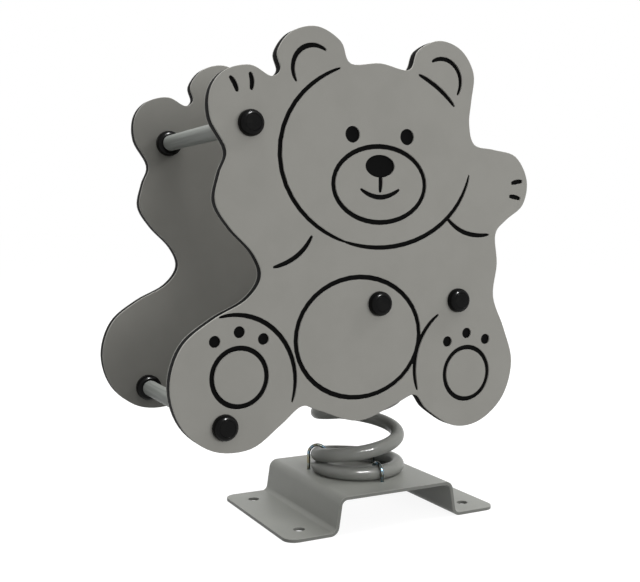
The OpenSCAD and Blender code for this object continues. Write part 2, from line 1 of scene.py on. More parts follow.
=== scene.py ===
# %% [markdown]
# A spring rider, dressed for its portrait.
# The rider is two bear-shaped boards with a seat between them, on one heavy coil spring that is
# clipped to a bent ground plate. Its solids come from the imported model, each already in its place.
# This lesson gives every surface its finish, rounds the edges that hands touch, and winds the spring
# anew. Lengths are metres, +Z is up and -Y faces the viewer.

# %% Load the fixed frame
import json
import math

import bmesh
import bpy
from mathutils import Matrix, Vector

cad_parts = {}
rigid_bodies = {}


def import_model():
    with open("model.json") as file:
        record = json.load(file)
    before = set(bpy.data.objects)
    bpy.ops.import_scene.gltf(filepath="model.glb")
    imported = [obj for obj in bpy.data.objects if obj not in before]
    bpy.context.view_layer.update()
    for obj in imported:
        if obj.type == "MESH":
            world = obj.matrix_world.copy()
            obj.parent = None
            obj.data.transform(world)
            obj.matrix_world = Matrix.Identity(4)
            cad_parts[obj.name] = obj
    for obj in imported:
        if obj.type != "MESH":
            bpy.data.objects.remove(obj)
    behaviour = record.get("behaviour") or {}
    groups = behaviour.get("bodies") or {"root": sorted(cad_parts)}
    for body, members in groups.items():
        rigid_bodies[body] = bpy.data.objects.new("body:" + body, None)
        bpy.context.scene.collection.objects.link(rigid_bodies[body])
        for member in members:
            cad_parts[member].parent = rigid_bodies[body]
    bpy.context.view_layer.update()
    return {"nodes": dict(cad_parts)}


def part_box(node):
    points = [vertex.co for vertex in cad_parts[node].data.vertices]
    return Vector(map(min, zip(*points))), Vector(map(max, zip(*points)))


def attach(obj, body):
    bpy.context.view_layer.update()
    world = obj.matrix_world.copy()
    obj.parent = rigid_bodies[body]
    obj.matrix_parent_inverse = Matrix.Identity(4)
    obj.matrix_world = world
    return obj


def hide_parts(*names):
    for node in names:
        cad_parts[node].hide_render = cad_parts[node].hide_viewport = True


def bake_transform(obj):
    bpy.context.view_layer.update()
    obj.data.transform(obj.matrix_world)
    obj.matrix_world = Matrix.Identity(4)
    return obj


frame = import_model()
MM = 0.001

# %% [markdown]
# The camera stands a little to the rider's front, at the height of the seat.
# A camera could be placed by eye, but here the picture's own geometry was solved for: the four round
# caps, the anchor holes and the panel thickness fix one place, one direction and one focal length.
# The lens is given in picture widths, because a sensor of any size then shows the same view.

# %% Camera
PICTURE_W = 640
FOCAL_PIXELS = 926.3
SENSOR = 36.0
CAMERA_PLACE = (-0.8340, -1.4773, 0.5166)
CAMERA_YAW = math.radians(27.11)
CAMERA_PITCH = math.radians(4.02)

camera = bpy.data.objects.new("camera", bpy.data.cameras.new("camera"))
bpy.context.scene.collection.objects.link(camera)
bpy.context.scene.camera = camera
camera.data.sensor_width = SENSOR
camera.data.sensor_fit = "HORIZONTAL"
camera.data.lens = FOCAL_PIXELS / PICTURE_W * SENSOR
camera.location = CAMERA_PLACE
camera.rotation_euler = (math.radians(90) - CAMERA_PITCH, 0, -CAMERA_YAW)
print("lens", round(camera.data.lens, 2), "mm on a", SENSOR, "mm sensor")

# %% [markdown]
# Shader trees are easier to read as sums than as boxes and wires.
# A Tap holds one outlet of a node. Adding, subtracting or multiplying Taps adds the Math node that
# does it, so 1 - mask is written as it is said. Every other node comes from one method, node(), which
# takes the node's kind, its settings, and what goes into its sockets.


# %% Shader maths
class Tap:
    """One outlet in a shader tree, which takes part in plain sums."""

    def __init__(self, tree, socket=None):
        self.tree = tree
        self.socket = socket

    def node(self, kind, settings=None, sockets=None, outlet=0):
        """Adds a node, makes its settings, fills its sockets with values or links, gives an outlet."""
        made = self.tree.nodes.new("ShaderNode" + kind)
        for name, value in (settings or {}).items():
            setattr(made, name, value)
        for name, value in (sockets or {}).items():
            if isinstance(value, Tap):
                self.tree.links.new(value.socket, made.inputs[name])
            else:
                made.inputs[name].default_value = value
        return Tap(self.tree, made.outputs[outlet] if made.outputs else None)

    def maths(self, operation, first, second):
        return self.node("Math", {"operation": operation}, {0: first, 1: second})

    def __add__(self, other):
        return self.maths("ADD", self, other)

    def __radd__(self, other):
        return self.maths("ADD", other, self)

    def __sub__(self, other):
        return self.maths("SUBTRACT", self, other)

    def __rsub__(self, other):
        return self.maths("SUBTRACT", other, self)

    def __mul__(self, other):
        return self.maths("MULTIPLY", self, other)

    def __rmul__(self, other):
        return self.maths("MULTIPLY", other, self)

    def __abs__(self):
        return self.maths("ABSOLUTE", self, 0.0)


def least(first, second):
    return first.maths("MINIMUM", first, second)


def most(first, second):
    return first.maths("MAXIMUM", first, second)


print("a Tap knows + - * and abs")

# %% [markdown]
# Four words are used by nearly every finish.
# grain is noise whose size is given in metres, so that a leather grain stays a millimetre wide on any
# piece. fade turns a value into a soft mask. mixed blends two colours, and raised turns a height into
# a bumped normal. Colours are written as the eye reads them, 0 to 255, and turned to linear light here.


# %% Words for finishes
def linear(red, green, blue):
    """A colour as a screen shows it, in the linear values that light adds up in."""
    def channel(value):
        share = value / 255
        return share / 12.92 if share <= 0.04045 else ((share + 0.055) / 1.055) ** 2.4

    return (channel(red), channel(green), channel(blue), 1.0)


def new_finish(name):
    """An empty material, and the Tap that its tree grows from."""
    material = bpy.data.materials.new(name)
    material.use_nodes = True
    material.node_tree.nodes.clear()
    return material, Tap(material.node_tree)


def object_place(tap):
    return tap.node("TexCoord", outlet="Object")


def axes_of(place):
    return [place.node("SeparateXYZ", sockets={0: place}, outlet=axis) for axis in "XYZ"]


def face_direction(tap):
    return axes_of(tap.node("TexCoord", outlet="Normal"))


def stretched(place, factors):
    return place.node("VectorMath", {"operation": "MULTIPLY"}, {0: place, 1: factors})


def grain(place, size, detail=2.0):
    return place.node("TexNoise", sockets={"Vector": place, "Scale": 1 / size, "Detail": detail})


def fade(value, low, high):
    settings = {"interpolation_type": "SMOOTHSTEP"}
    return value.node("MapRange", settings, {"Value": value, "From Min": low, "From Max": high})


def mixed(factor, first, second):
    """Blends two colours. Sockets 6 and 7 of a Mix node are its colours, and outlet 2 their blend."""
    return factor.node("Mix", {"data_type": "RGBA"}, {0: factor, 6: first, 7: second}, outlet=2)


def raised(height, depth):
    return height.node("Bump", sockets={"Height": height, "Distance": depth})


def finished(tap, sockets):
    """Sends a Principled shader with these sockets to the material's output."""
    shader = tap.node("BsdfPrincipled", sockets=sockets)
    tap.node("OutputMaterial", sockets={"Surface": shader})


print("middle grey in linear light:", [round(value, 3) for value in linear(128, 128, 128)[:3]])

# %% [markdown]
# The boards are three-layer sheet: a black core with a thin grey skin on each side.
# The figure's lines are routed just deeper than the skin, so the core shows in them and along every
# edge. Painted lines would be quicker, but they would look wrong from the side. Here the depth below
# the nearer face picks the layer, so cuts show black wherever they go. The skin has the fine leather
# grain that such sheet is rolled with, and the core keeps the cutter's fine strokes. Where a face turns
# away from the sheet's face, at the rims, the skin is painted paler: a painted highlight that draws a
# thin pale line along each side of the core.

# %% Three-layer sheet
SKIN = 2.5 * MM
SKIN_GREY = linear(138, 137, 132)
SKIN_PALE = linear(141, 140, 135)
SKIN_EDGE_HIGHLIGHT = linear(182, 181, 175)
CORE_BLACK = linear(9, 9, 9)
EDGE_HIGHLIGHT_FADE = (0.5, 0.95)
LAYER_BLUR = 0.1 * MM
LAYER_WANDER = 0.3 * MM
WANDER_SIZE = 8 * MM
SKIN_CLOUD_SIZE = 60 * MM
CLOUD_FADE = (0.3, 0.7)
LEATHER_SIZE = 1.1 * MM
STROKE_WIDTH = 0.9 * MM
STROKE_SQUASH = 0.04
SHEET_RELIEF = 0.06 * MM


def sheet_finish(name, depth_axis, low_face, high_face):
    """Grey skins over a black core. The faces are given as distances from the middle of the part."""
    material, tap = new_finish(name)
    place = object_place(tap)
    across = abs(axes_of(place)[depth_axis])
    wander = (grain(place, WANDER_SIZE) - 0.5) * LAYER_WANDER
    depth = least(across - low_face, high_face - across) + wander
    core = fade(depth, SKIN - LAYER_BLUR, SKIN + LAYER_BLUR)
    cloud = fade(grain(place, SKIN_CLOUD_SIZE, detail=4.0), *CLOUD_FADE)
    # Painted highlight: faces that turn away from the sheet's face, at the rims, are painted paler.
    painted_edge_highlight = 1 - fade(abs(face_direction(tap)[depth_axis]), *EDGE_HIGHLIGHT_FADE)
    skin = mixed(painted_edge_highlight, mixed(cloud, SKIN_GREY, SKIN_PALE), SKIN_EDGE_HIGHLIGHT)
    leather = grain(place, LEATHER_SIZE, detail=1.0)
    squash = [1.0, 1.0, 1.0]
    squash[depth_axis] = STROKE_SQUASH
    strokes = grain(stretched(place, squash), STROKE_WIDTH, detail=1.0)
    height = leather * (1 - core) + strokes * core
    finished(tap, {
        "Base Color": mixed(core, skin, CORE_BLACK),
        "Roughness": 0.5 + 0.12 * leather + 0.1 * core,
        "Specular IOR Level": 0.06,
        "Normal": raised(height, SHEET_RELIEF),
    })
    return material


panel_low, panel_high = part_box("right_panel")
seat_low, seat_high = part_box("seat_board")
panel_sheet = sheet_finish("panel_sheet_finish", 1, panel_low.y, panel_high.y)
seat_sheet = sheet_finish("seat_sheet_finish", 2, seat_low.z, seat_high.z)
sheet_thickness = panel_high.y - panel_low.y
print("sheet is", round(sheet_thickness / MM, 1), "mm thick, skins", round(SKIN / MM, 1), "mm")

# %% [markdown]
# The ground plate and the seat carrier are bent steel with a satin grey powder coat.
# Powder melts into a skin with a faint orange peel, a few millimetres from bump to bump. A plain
# glossy colour would miss it. A noise of that size tilts the normal a little, and a larger one varies
# the gloss, as a coat does that has been rained on and wiped. The edges and the walls of the plate's
# holes are painted darker, as painted shade. Their faces are known by their own direction: on the
# plate they alone stand upright, and on the carrier the cut ends face along X.

# %% Powder coat
PAINT_GREY = linear(135, 136, 131)
PAINT_PALE = linear(141, 142, 137)
PAINT_SHADE = linear(112, 113, 109)
UPRIGHT_FADE = (0.08, 0.13)
ALONG_X_FADE = (0.87, 0.92)
PAINT_CLOUD_SIZE = 80 * MM
PEEL_SIZE = 3.0 * MM
PEEL_RELIEF = 0.05 * MM


# Masks for painted shade: upright faces on the plate, and on the carrier the ends that face along X.
def plate_shaded_faces(direction):
    return 1 - fade(abs(direction[2]), *UPRIGHT_FADE)


def carrier_shaded_ends(direction):
    return fade(abs(direction[0]), *ALONG_X_FADE)


def powder_finish(name, shade_mask_by):
    material, tap = new_finish(name)
    place = object_place(tap)
    # Painted shade: the faces that the mask picks get a darker colour.
    edge = shade_mask_by(face_direction(tap))
    peel = grain(place, PEEL_SIZE, detail=1.0)
    cloud = fade(grain(place, PAINT_CLOUD_SIZE, detail=4.0), *CLOUD_FADE)
    finished(tap, {
        "Base Color": mixed(edge, mixed(cloud, PAINT_GREY, PAINT_PALE), PAINT_SHADE),
        "Roughness": 0.4 + 0.08 * cloud,
        "Specular IOR Level": 0.25,
        "Normal": raised(peel, PEEL_RELIEF),
    })
    return material


plate_powder = powder_finish("plate_powder_coat", plate_shaded_faces)
carrier_powder = powder_finish("carrier_powder_coat", carrier_shaded_ends)
print("made", plate_powder.name, "and", carrier_powder.name)

# %% [markdown]
# The spring carries a glossier coat, so its round bar shows long, sharp lights.
# The coat could share the plate's finish, but the two gleam differently in the picture. The bar's
# grain reads a place that is stored on the bar itself, unrolled to a straight rod, so that it stays
# put while the spring bends.

# %% Spring paint
SPRING_GREY = linear(122, 123, 119)
SPRING_PALE = linear(128, 129, 125)
SPRING_CLOUD_SIZE = 50 * MM
SPRING_PEEL_SIZE = 4.0 * MM
SPRING_RELIEF = 0.012 * MM


def spring_finish():
    material, tap = new_finish("spring_gloss_coat")
    place = tap.node("Attribute", {"attribute_name": "rod_place"}, outlet="Vector")
    peel = grain(place, SPRING_PEEL_SIZE, detail=1.0)
    cloud = fade(grain(place, SPRING_CLOUD_SIZE, detail=3.0), *CLOUD_FADE)
    finished(tap, {
        "Base Color": mixed(cloud, SPRING_GREY, SPRING_PALE),
        "Roughness": 0.3 + 0.06 * cloud,
        "Specular IOR Level": 0.03,
        "Coat Weight": 0.12,
        "Coat Roughness": 0.08,
        "Normal": raised(peel, SPRING_RELIEF),
    })
    return material


spring_paint = spring_finish()
print("made", spring_paint.name)

# %% [markdown]
# The bars are drawn steel tube with a satin finish.
# A bright polish would mirror the floor, but these tubes are dull grey, pale on top and dark below,
# as galvanised tube is. Drawing leaves lines along the tube, so noise that is stretched along Y gives
# both the fine lines and the broad streaks.

# %% Satin tube
TUBE_STEEL = linear(151, 154, 150)
TUBE_DARK = linear(134, 137, 133)
LINE_WIDTH = 0.5 * MM
LINE_SQUASH = (1.0, 0.02, 1.0)
LINE_RELIEF = 0.01 * MM
STREAK_WIDTH = 5.0 * MM
STREAK_SQUASH = (1.0, 0.03, 1.0)
STREAK_FADE = (0.35, 0.65)


def tube_finish():
    material, tap = new_finish("satin_tube")
    place = object_place(tap)
    lines = grain(stretched(place, LINE_SQUASH), LINE_WIDTH)
    streaks = fade(grain(stretched(place, STREAK_SQUASH), STREAK_WIDTH), *STREAK_FADE)
    finished(tap, {
        "Base Color": mixed(streaks, TUBE_STEEL, TUBE_DARK),
        "Roughness": 0.42 + 0.14 * lines,
        "Specular IOR Level": 0.1,
        "Normal": raised(lines, LINE_RELIEF),
    })
    return material


satin_tube = tube_finish()
print("made", satin_tube.name)

# %% [markdown]
# Clips, nuts, washers and bolts are bright zinc.
# Zinc plating has a faint rainbow from its clear coat, blue in one place and straw in another. A
# plain silver would look like chrome. A slow noise moves the tint between the two, and a finer one
# dulls the plating in spots.

# %% Bright zinc
ZINC_BLUE = linear(110, 136, 153)
ZINC_STRAW = linear(116, 109, 86)
TINT_SIZE = 11 * MM
TINT_FADE = (0.35, 0.65)
SPOT_SIZE = 2.0 * MM
SPOT_RELIEF = 0.01 * MM


def zinc_finish():
    material, tap = new_finish("bright_zinc")
    place = object_place(tap)
    tint = fade(grain(place, TINT_SIZE), *TINT_FADE)
    spots = grain(place, SPOT_SIZE, detail=3.0)
    finished(tap, {
        "Base Color": mixed(tint, ZINC_STRAW, ZINC_BLUE),
        "Metallic": 1.0,
        "Roughness": 0.08 + 0.16 * spots,
        "Normal": raised(spots, SPOT_RELIEF),
    })
    return material


bright_zinc = zinc_finish()
print("made", bright_zinc.name)

# %% [markdown]
# Caps and collars are black moulded plastic.
# Moulded nylon is nearly smooth, with a fine matt grain that softens its lights. Black is hard to
# show: what the eye sees is gloss. So the colour stays simple and the grain and roughness do the work.

# %% Black plastic
CAP_BLACK = linear(9, 9, 9)
CAP_DUSTY = linear(14, 14, 13)
DUST_SIZE = 14 * MM
DUST_FADE = (0.45, 0.75)
MATT_SIZE = 0.7 * MM
MATT_RELIEF = 0.015 * MM


def plastic_finish():
    material, tap = new_finish("black_moulded_plastic")
    place = object_place(tap)
    matt = grain(place, MATT_SIZE, detail=1.0)
    dust = fade(grain(place, DUST_SIZE, detail=4.0), *DUST_FADE)
    finished(tap, {
        "Base Color": mixed(dust, CAP_BLACK, CAP_DUSTY),
        "Roughness": 0.16 + 0.08 * matt + 0.08 * dust,
        "Specular IOR Level": 0.08,
        "Normal": raised(matt, MATT_RELIEF),
    })
    return material


black_plastic = plastic_finish()
print("made", black_plastic.name)

# %% [markdown]
# Every solid from the frame now gets its finish.
# The record names a slot for each node, so one table of slots is enough, and no node is forgotten. The
# finish goes on the object and not on its mesh, because the frame's meshes stay as they are. The seat
# carrier is in the plate's slot, but its cut edges face another way, so it takes its own coat.

# %% Finishes on the frame's solids
FINISHES = {
    "panel_sheet": panel_sheet,
    "seat_sheet": seat_sheet,
    "grey_paint": plate_powder,
    "spring_paint": spring_paint,
    "bar_steel": satin_tube,
    "zinc_steel": bright_zinc,
    "black_plastic": black_plastic,
}
slot_of = {name: solid.data.materials[0].name for name, solid in frame["nodes"].items()}
for name, solid in frame["nodes"].items():
    solid.material_slots[0].link = "OBJECT"
    solid.material_slots[0].material = FINISHES[slot_of[name]]
frame["nodes"]["seat_carrier"].material_slots[0].material = carrier_powder
print("finishes on", len(slot_of), "solids")

# %% [markdown]
# Round pieces, such as collars and bolt heads, are turned or moulded and show no facets.
# A solid comes in as triangles that share no corners, so its round faces would look faceted. The
# meshes could be welded by hand, but the frame's meshes stay as they are. A small modifier tree
# does it instead: it welds the triangles and shades them smooth wherever they turn only a little.

# %% Clean surfaces
WELD = 0.01 * MM
SMOOTH_ANGLE = math.radians(30)


def clean_surface():
    """A geometry tree that welds a solid's triangles and shades it smooth between its edges."""
    group = bpy.data.node_groups.new("clean_surface", "GeometryNodeTree")
    for side in ("INPUT", "OUTPUT"):
        group.interface.new_socket("Solid", in_out=side, socket_type="NodeSocketGeometry")
    kinds = ["NodeGroupInput", "GeometryNodeMergeByDistance", "GeometryNodeRemoveAttribute",
             "GeometryNodeSetShadeSmooth", "GeometryNodeSetShadeSmooth", "NodeGroupOutput"]
    chain = [group.nodes.new(kind) for kind in kinds]
    for first, second in zip(chain, chain[1:]):
        group.links.new(first.outputs[0], second.inputs[0])
    weld, drop_normals, _, smooth_edges = chain[1:5]
    weld.inputs["Distance"].default_value = WELD
    drop_normals.inputs["Name"].default_value = "custom_normal"
    angle = group.nodes.new("GeometryNodeInputMeshEdgeAngle")
    below = group.nodes.new("FunctionNodeCompare")
    below.operation = "LESS_THAN"
    below.inputs[1].default_value = SMOOTH_ANGLE
    group.links.new(angle.outputs["Unsigned Angle"], below.inputs[0])
    smooth_edges.domain = "EDGE"
    group.links.new(below.outputs[0], smooth_edges.inputs["Shade Smooth"])
    return group


CLEAN = clean_surface()


def clean(name):
    frame["nodes"][name].modifiers.new("clean", "NODES").node_group = CLEAN


ROUND_NODES = ["seat_bolts"] + [name for name in frame["nodes"] if "_collar_" in name]
for name in ROUND_NODES:
    clean(name)
print("shoulders smoothed on", ROUND_NODES)

# %% [markdown]
# No edge on the real rider is knife-sharp: plate, board and nuts each have a chamfer of their own.
# One width for all would swallow the nuts or leave the seat board sharp, so a table gives each its
# own. The Bevel only takes edges that turn by more than the angle given, which spares the facets in
# the walls of the round holes.

# %% Broken edges
EDGE_ANGLE = math.radians(40)
EDGE_SEGMENTS = 2
EDGE_WIDTHS = {
    "ground_plate": 0.8 * MM,
    "seat_carrier": 0.8 * MM,
    "seat_board": 3.0 * MM,
    "base_clip_nuts": 0.3 * MM,
    "top_clip_nuts": 0.3 * MM,
    "seat_bolt_nuts": 0.4 * MM,
    "carrier_nuts": 0.4 * MM,
}


def break_edges(name, width):
    clean(name)
    bevel = frame["nodes"][name].modifiers.new("broken_edges", "BEVEL")
    bevel.width = width
    bevel.segments = EDGE_SEGMENTS
    bevel.limit_method = "ANGLE"
    bevel.angle_limit = EDGE_ANGLE
    bevel.use_clamp_overlap = False
    bevel.loop_slide = False
    bevel.harden_normals = True


for name, width in EDGE_WIDTHS.items():
    break_edges(name, width)
print("edges broken on", sorted(EDGE_WIDTHS))

# %% [markdown]
# The two boards are routed from the sheet, and their rims are rounded over with a small cutter.
# A Bevel on the whole board would also eat the narrow tips of its routed lines. So each board's solid
# is copied, its rim edges are picked out, being the ones whose wall goes right through the sheet, and
# only those are rounded.

# %% Side boards
RIM_RADIUS = 0.9 * MM
RIM_SEGMENTS = 3
ROUND_PROFILE = 0.5
RIM_ANGLE = math.radians(60)
SHORTEST_RIM_EDGE = 1.0 * MM
WALL_SHARE = 0.9
COPLANAR_ANGLE = math.radians(0.2)
FLAT_FACE = 0.9999


def smooth_by_angle(work, angle):
    for face in work.faces:
        face.smooth = True
    for edge in work.edges:
        edge.smooth = len(edge.link_faces) == 2 and edge.calc_face_angle(math.pi) < angle


def new_piece(name, work, finish):
    """Turns a bmesh into an object with this finish."""
    mesh = bpy.data.meshes.new(name)
    work.to_mesh(mesh)
    work.free()
    mesh.materials.append(finish)
    piece = bpy.data.objects.new(name, mesh)
    bpy.context.scene.collection.objects.link(piece)
    return piece


def through_wall(face):
    heights = [corner.co.y for corner in face.verts]
    return max(heights) - min(heights) > WALL_SHARE * sheet_thickness


def rounded_board(node):
    work = bmesh.new()
    work.from_mesh(frame["nodes"][node].data)
    bmesh.ops.remove_doubles(work, verts=work.verts, dist=WELD)
    bmesh.ops.dissolve_limit(work, angle_limit=COPLANAR_ANGLE, verts=work.verts, edges=work.edges)
    rim = [
        edge for edge in work.edges
        if edge.calc_length() > SHORTEST_RIM_EDGE
        and len(edge.link_faces) == 2
        and edge.calc_face_angle() > RIM_ANGLE
        and any(through_wall(face) for face in edge.link_faces)
    ]
    bmesh.ops.bevel(work, geom=rim, offset=RIM_RADIUS, offset_type="OFFSET", segments=RIM_SEGMENTS,
                    profile=ROUND_PROFILE, affect="EDGES", clamp_overlap=False)
    smooth_by_angle(work, SMOOTH_ANGLE)
    for face in work.faces:
        face.smooth = abs(face.normal.y) < FLAT_FACE
    board = new_piece(node.replace("panel", "board"), work, panel_sheet)
    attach(board, "rider")
    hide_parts(node)
    print(board.name, "rim edges", len(rim), "faces", len(board.data.polygons))


for node in ("left_panel", "right_panel"):
    rounded_board(node)

# %% [markdown]
# The spring is one round bar, wound nearly five turns, with its end turns closed up flat.
# A plain helix would stand on its two tips. On a real coil the first and last turns lie nearly level
# and the turns between them climb, so the rise is a ramp with a softened knee near each end. The tips
# are drawn out thinner, which lets the end turns lie closer than a full bar would.

# %% The coil's path
BAR_D = 25.0 * MM
COIL_D = 148.0 * MM
TURNS = 4.95
TIP_SHARE = 0.54
TURN_GAP = 0.8 * MM
OPENING_TURNS = 0.045
START_ANGLE = math.radians(140)

spring_low, spring_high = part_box("coil_spring")
first_z = spring_low.z + BAR_D / 2
rise = spring_high.z - BAR_D / 2 - first_z
first_turn_rise = TIP_SHARE * BAR_D + TURN_GAP
closed_turns = (rise - TURNS * first_turn_rise) / (rise - 2 * first_turn_rise)


def softened(turn, knee):
    return OPENING_TURNS * math.log1p(math.exp((turn - knee) / OPENING_TURNS))


def raw_rise(turn):
    return softened(turn, closed_turns) - softened(turn, TURNS - closed_turns)


def bar_z(turn):
    return first_z + rise * (raw_rise(turn) - raw_rise(0)) / (raw_rise(TURNS) - raw_rise(0))


def bar_angle(turn):
    return START_ANGLE + 2 * math.pi * turn


def bar_point(turn):
    angle = bar_angle(turn)
    return Vector((COIL_D / 2 * math.cos(angle), COIL_D / 2 * math.sin(angle), bar_z(turn)))


print("rise", round(rise / MM, 1), "mm, turns closed at each end", round(closed_turns, 2))

# %% [markdown]
# The bar itself is a ring of corners, carried along that path.
# A curve with a round bevel would be quicker, but it can't thin the bar on one side only, as the tips
# need. Each ring stands square to the path. Each corner also keeps its place on a straight rod, which
# is what the paint's grain reads.

# %% The bar's rings
BAR_SIDES = 32
SMALL_TURN = 0.002


def bar_heights(turn):
    """How far the bar reaches up and down from its middle. Near its ends the next turn thins it."""
    def room(lower_turn):
        return bar_z(lower_turn + 1) - bar_z(lower_turn) - BAR_D / 2 - TURN_GAP

    up = min(BAR_D / 2, room(turn)) if turn < 1 else BAR_D / 2
    down = min(BAR_D / 2, room(turn - 1)) if turn > TURNS - 1 else BAR_D / 2
    return up, down


def bar_axes(turn):
    """The bar's direction, and two directions square to it: out from the coil, and up."""
    along = (bar_point(turn + SMALL_TURN) - bar_point(turn - SMALL_TURN)).normalized()
    angle = bar_angle(turn)
    outward = Vector((math.cos(angle), math.sin(angle), 0))
    upward = outward.cross(along).normalized()
    return along, along.cross(upward).normalized(), upward


def add_ring(work, places, turn, inset=0.0, shift=0.0):
    """A ring of corners round the bar, shifted along it, with each corner's place on a straight rod."""
    along, outward, upward = bar_axes(turn)
    centre = bar_point(turn) + along * shift
    up, down = bar_heights(turn)
    corners = []
    for side in range(BAR_SIDES):
        angle = 2 * math.pi * side / BAR_SIDES
        reach = up if math.sin(angle) > 0 else down
        level = (BAR_D / 2 - inset) * math.cos(angle)
        height = (reach - min(inset, up / 2, down / 2)) * math.sin(angle)
        corner = work.verts.new(centre + level * outward + height * upward)
        corner[places] = Vector((math.pi * COIL_D * turn + shift, level, height))
        corners.append(corner)
    return corners


print("each ring has", BAR_SIDES, "corners")

# %% [markdown]
# The spring is wound anew as two halves that meet at mid-height.
# The lower runs from the ground plate to the spring's middle, and the upper goes on from the middle
# to the seat.

# %% Spring halves
RINGS_PER_TURN = 72
END_CHAMFER = 1.5 * MM


def join_rings(work, rings):
    """Walls between each ring of corners and the next."""
    for lower, upper in zip(rings, rings[1:]):
        for here in range(len(lower)):
            after = (here + 1) % len(lower)
            work.faces.new((lower[here], lower[after], upper[after], upper[here]))


def bar_half(name, from_turn, to_turn):
    work = bmesh.new()
    places = work.verts.layers.float_vector.new("rod_place")
    count = round((to_turn - from_turn) * RINGS_PER_TURN)
    turns = [from_turn + (to_turn - from_turn) * step / count for step in range(count + 1)]
    rings = [add_ring(work, places, turn) for turn in turns]
    if from_turn == 0:
        rings.insert(0, add_ring(work, places, 0, END_CHAMFER, -END_CHAMFER))
    else:
        rings.append(add_ring(work, places, to_turn, END_CHAMFER, END_CHAMFER))
    join_rings(work, rings)
    work.faces.new(list(reversed(rings[0])))
    work.faces.new(rings[-1])
    bmesh.ops.recalc_face_normals(work, faces=work.faces)
    smooth_by_angle(work, SMOOTH_ANGLE)
    half = new_piece(name, work, spring_paint)
    return half


lower_half = bar_half("spring_lower_half", 0, TURNS / 2)
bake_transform(lower_half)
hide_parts("coil_spring")
upper_half = bar_half("spring_upper_half", TURNS / 2, TURNS)
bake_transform(upper_half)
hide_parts("coil_spring")
print("spring halves:", len(lower_half.data.polygons), len(upper_half.data.polygons), "faces")

# %% [markdown]
# The caps over the bolts are turned shapes, so a profile spun about its axis makes them.
# The frame's caps have coarse shoulders. This profile has a small lip at the board, a straight rim,
# a shoulder, and the fine line where the flat front was pressed in.

# %% The cap's profile
RIM_HEIGHT = 3.0 * MM
FRONT_D = 25.5 * MM
FRONT_CROWN = 0.5 * MM
FRONT_LINE = 0.35 * MM
FOOT_LIP = 0.5 * MM
SHOULDER_STEPS = 16
CROWN_STEPS = 8


def cap_profile(radius, height):
    """Radius and height of the cap's outside, from the board to the middle of its front."""
    front = FRONT_D / 2
    pressed = front - 2 * FRONT_LINE
    top = height - FRONT_CROWN
    points = [(radius - FOOT_LIP, 0.0), (radius, FOOT_LIP)]
    for step in range(SHOULDER_STEPS + 1):
        angle = math.pi / 2 * step / SHOULDER_STEPS
        out = front + (radius - front) * math.cos(angle)
        points.append((out, RIM_HEIGHT + (top - RIM_HEIGHT) * math.sin(angle)))
    points.append((front - FRONT_LINE, top - FRONT_LINE))
    points.append((pressed, top))
    for step in range(1, CROWN_STEPS + 1):
        share = 1 - step / CROWN_STEPS
        points.append((pressed * share, top + FRONT_CROWN * (1 - share * share)))
    return points


print("a shoulder is turned in", SHOULDER_STEPS, "steps and a front in", CROWN_STEPS)

# %% [markdown]
# Each cap is spun where its solid sits, and faces away from the board that it is pressed on.
# Blender's Spin tool could turn the profile, but it leaves a seam to weld. Rings of corners, joined as
# the spring's were, close by themselves. The last point of the profile lies on the axis and is the tip.

# %% Domed caps
CAP_SIDES = 96


def spun(name, profile, place, finish):
    """A closed piece from a profile that starts at its open foot and ends on its axis."""
    work = bmesh.new()
    angles = [2 * math.pi * side / CAP_SIDES for side in range(CAP_SIDES)]
    rings = []
    for radius, height in profile[:-1]:
        places = [(radius * math.cos(angle), radius * math.sin(angle), height) for angle in angles]
        rings.append([work.verts.new(corner) for corner in places])
    join_rings(work, rings)
    last = rings[-1]
    tip = work.verts.new((0, 0, profile[-1][1]))
    for here in range(CAP_SIDES):
        work.faces.new((last[here], last[(here + 1) % CAP_SIDES], tip))
    work.faces.new(list(reversed(rings[0])))
    bmesh.ops.transform(work, matrix=place, verts=work.verts)
    bmesh.ops.recalc_face_normals(work, faces=work.faces)
    smooth_by_angle(work, SMOOTH_ANGLE)
    return new_piece(name, work, finish)


def domed_cap(node):
    low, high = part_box(node)
    side = -1 if low.y < 0 else 1
    foot_y = high.y if side < 0 else low.y
    place = (Matrix.Translation(((low.x + high.x) / 2, foot_y, (low.z + high.z) / 2))
             @ Matrix.Rotation(math.radians(-90 * side), 4, "X"))
    profile = cap_profile((high.x - low.x) / 2, high.y - low.y)
    cap = spun("domed_" + node, profile, place, black_plastic)
    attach(cap, "rider")
    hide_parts(node)


cap_nodes = [name for name in frame["nodes"] if "_cap_" in name]
for name in cap_nodes:
    domed_cap(name)
print("caps:", len(cap_nodes))

# %% [markdown]
# The studio is a white floor under white air.
# The picture has no horizon, and its shadows are only soft dark hems, so most light comes from wide
# sources. Here the air gives a share of the light, and eyes and mirrors see it as plain white. A floor
# that shone white by itself would light the object from below. This one is matt, and only where it is
# looked at does it glow just enough to reach white, so the object's shadow stays on it and no extra
# light falls on the object.

# %% White floor and air
FLOOR_HALF = 40.0
FLOOR_DROP = 0.2 * MM
FLOOR_SHADE = 0.2
FLOOR_GLOW = 0.9
AIR_SHOWN = 1.0
AIR_LIGHT = 0.5
LOOKING_RAYS = ("Is Camera Ray", "Is Glossy Ray", "Is Transmission Ray")


def looked_at(tap):
    """1 where the eye, a mirror or a glass sees a surface, 0 where it only gives light."""
    eye, mirror, glass = [tap.node("LightPath", outlet=ray) for ray in LOOKING_RAYS]
    return most(most(eye, mirror), glass)


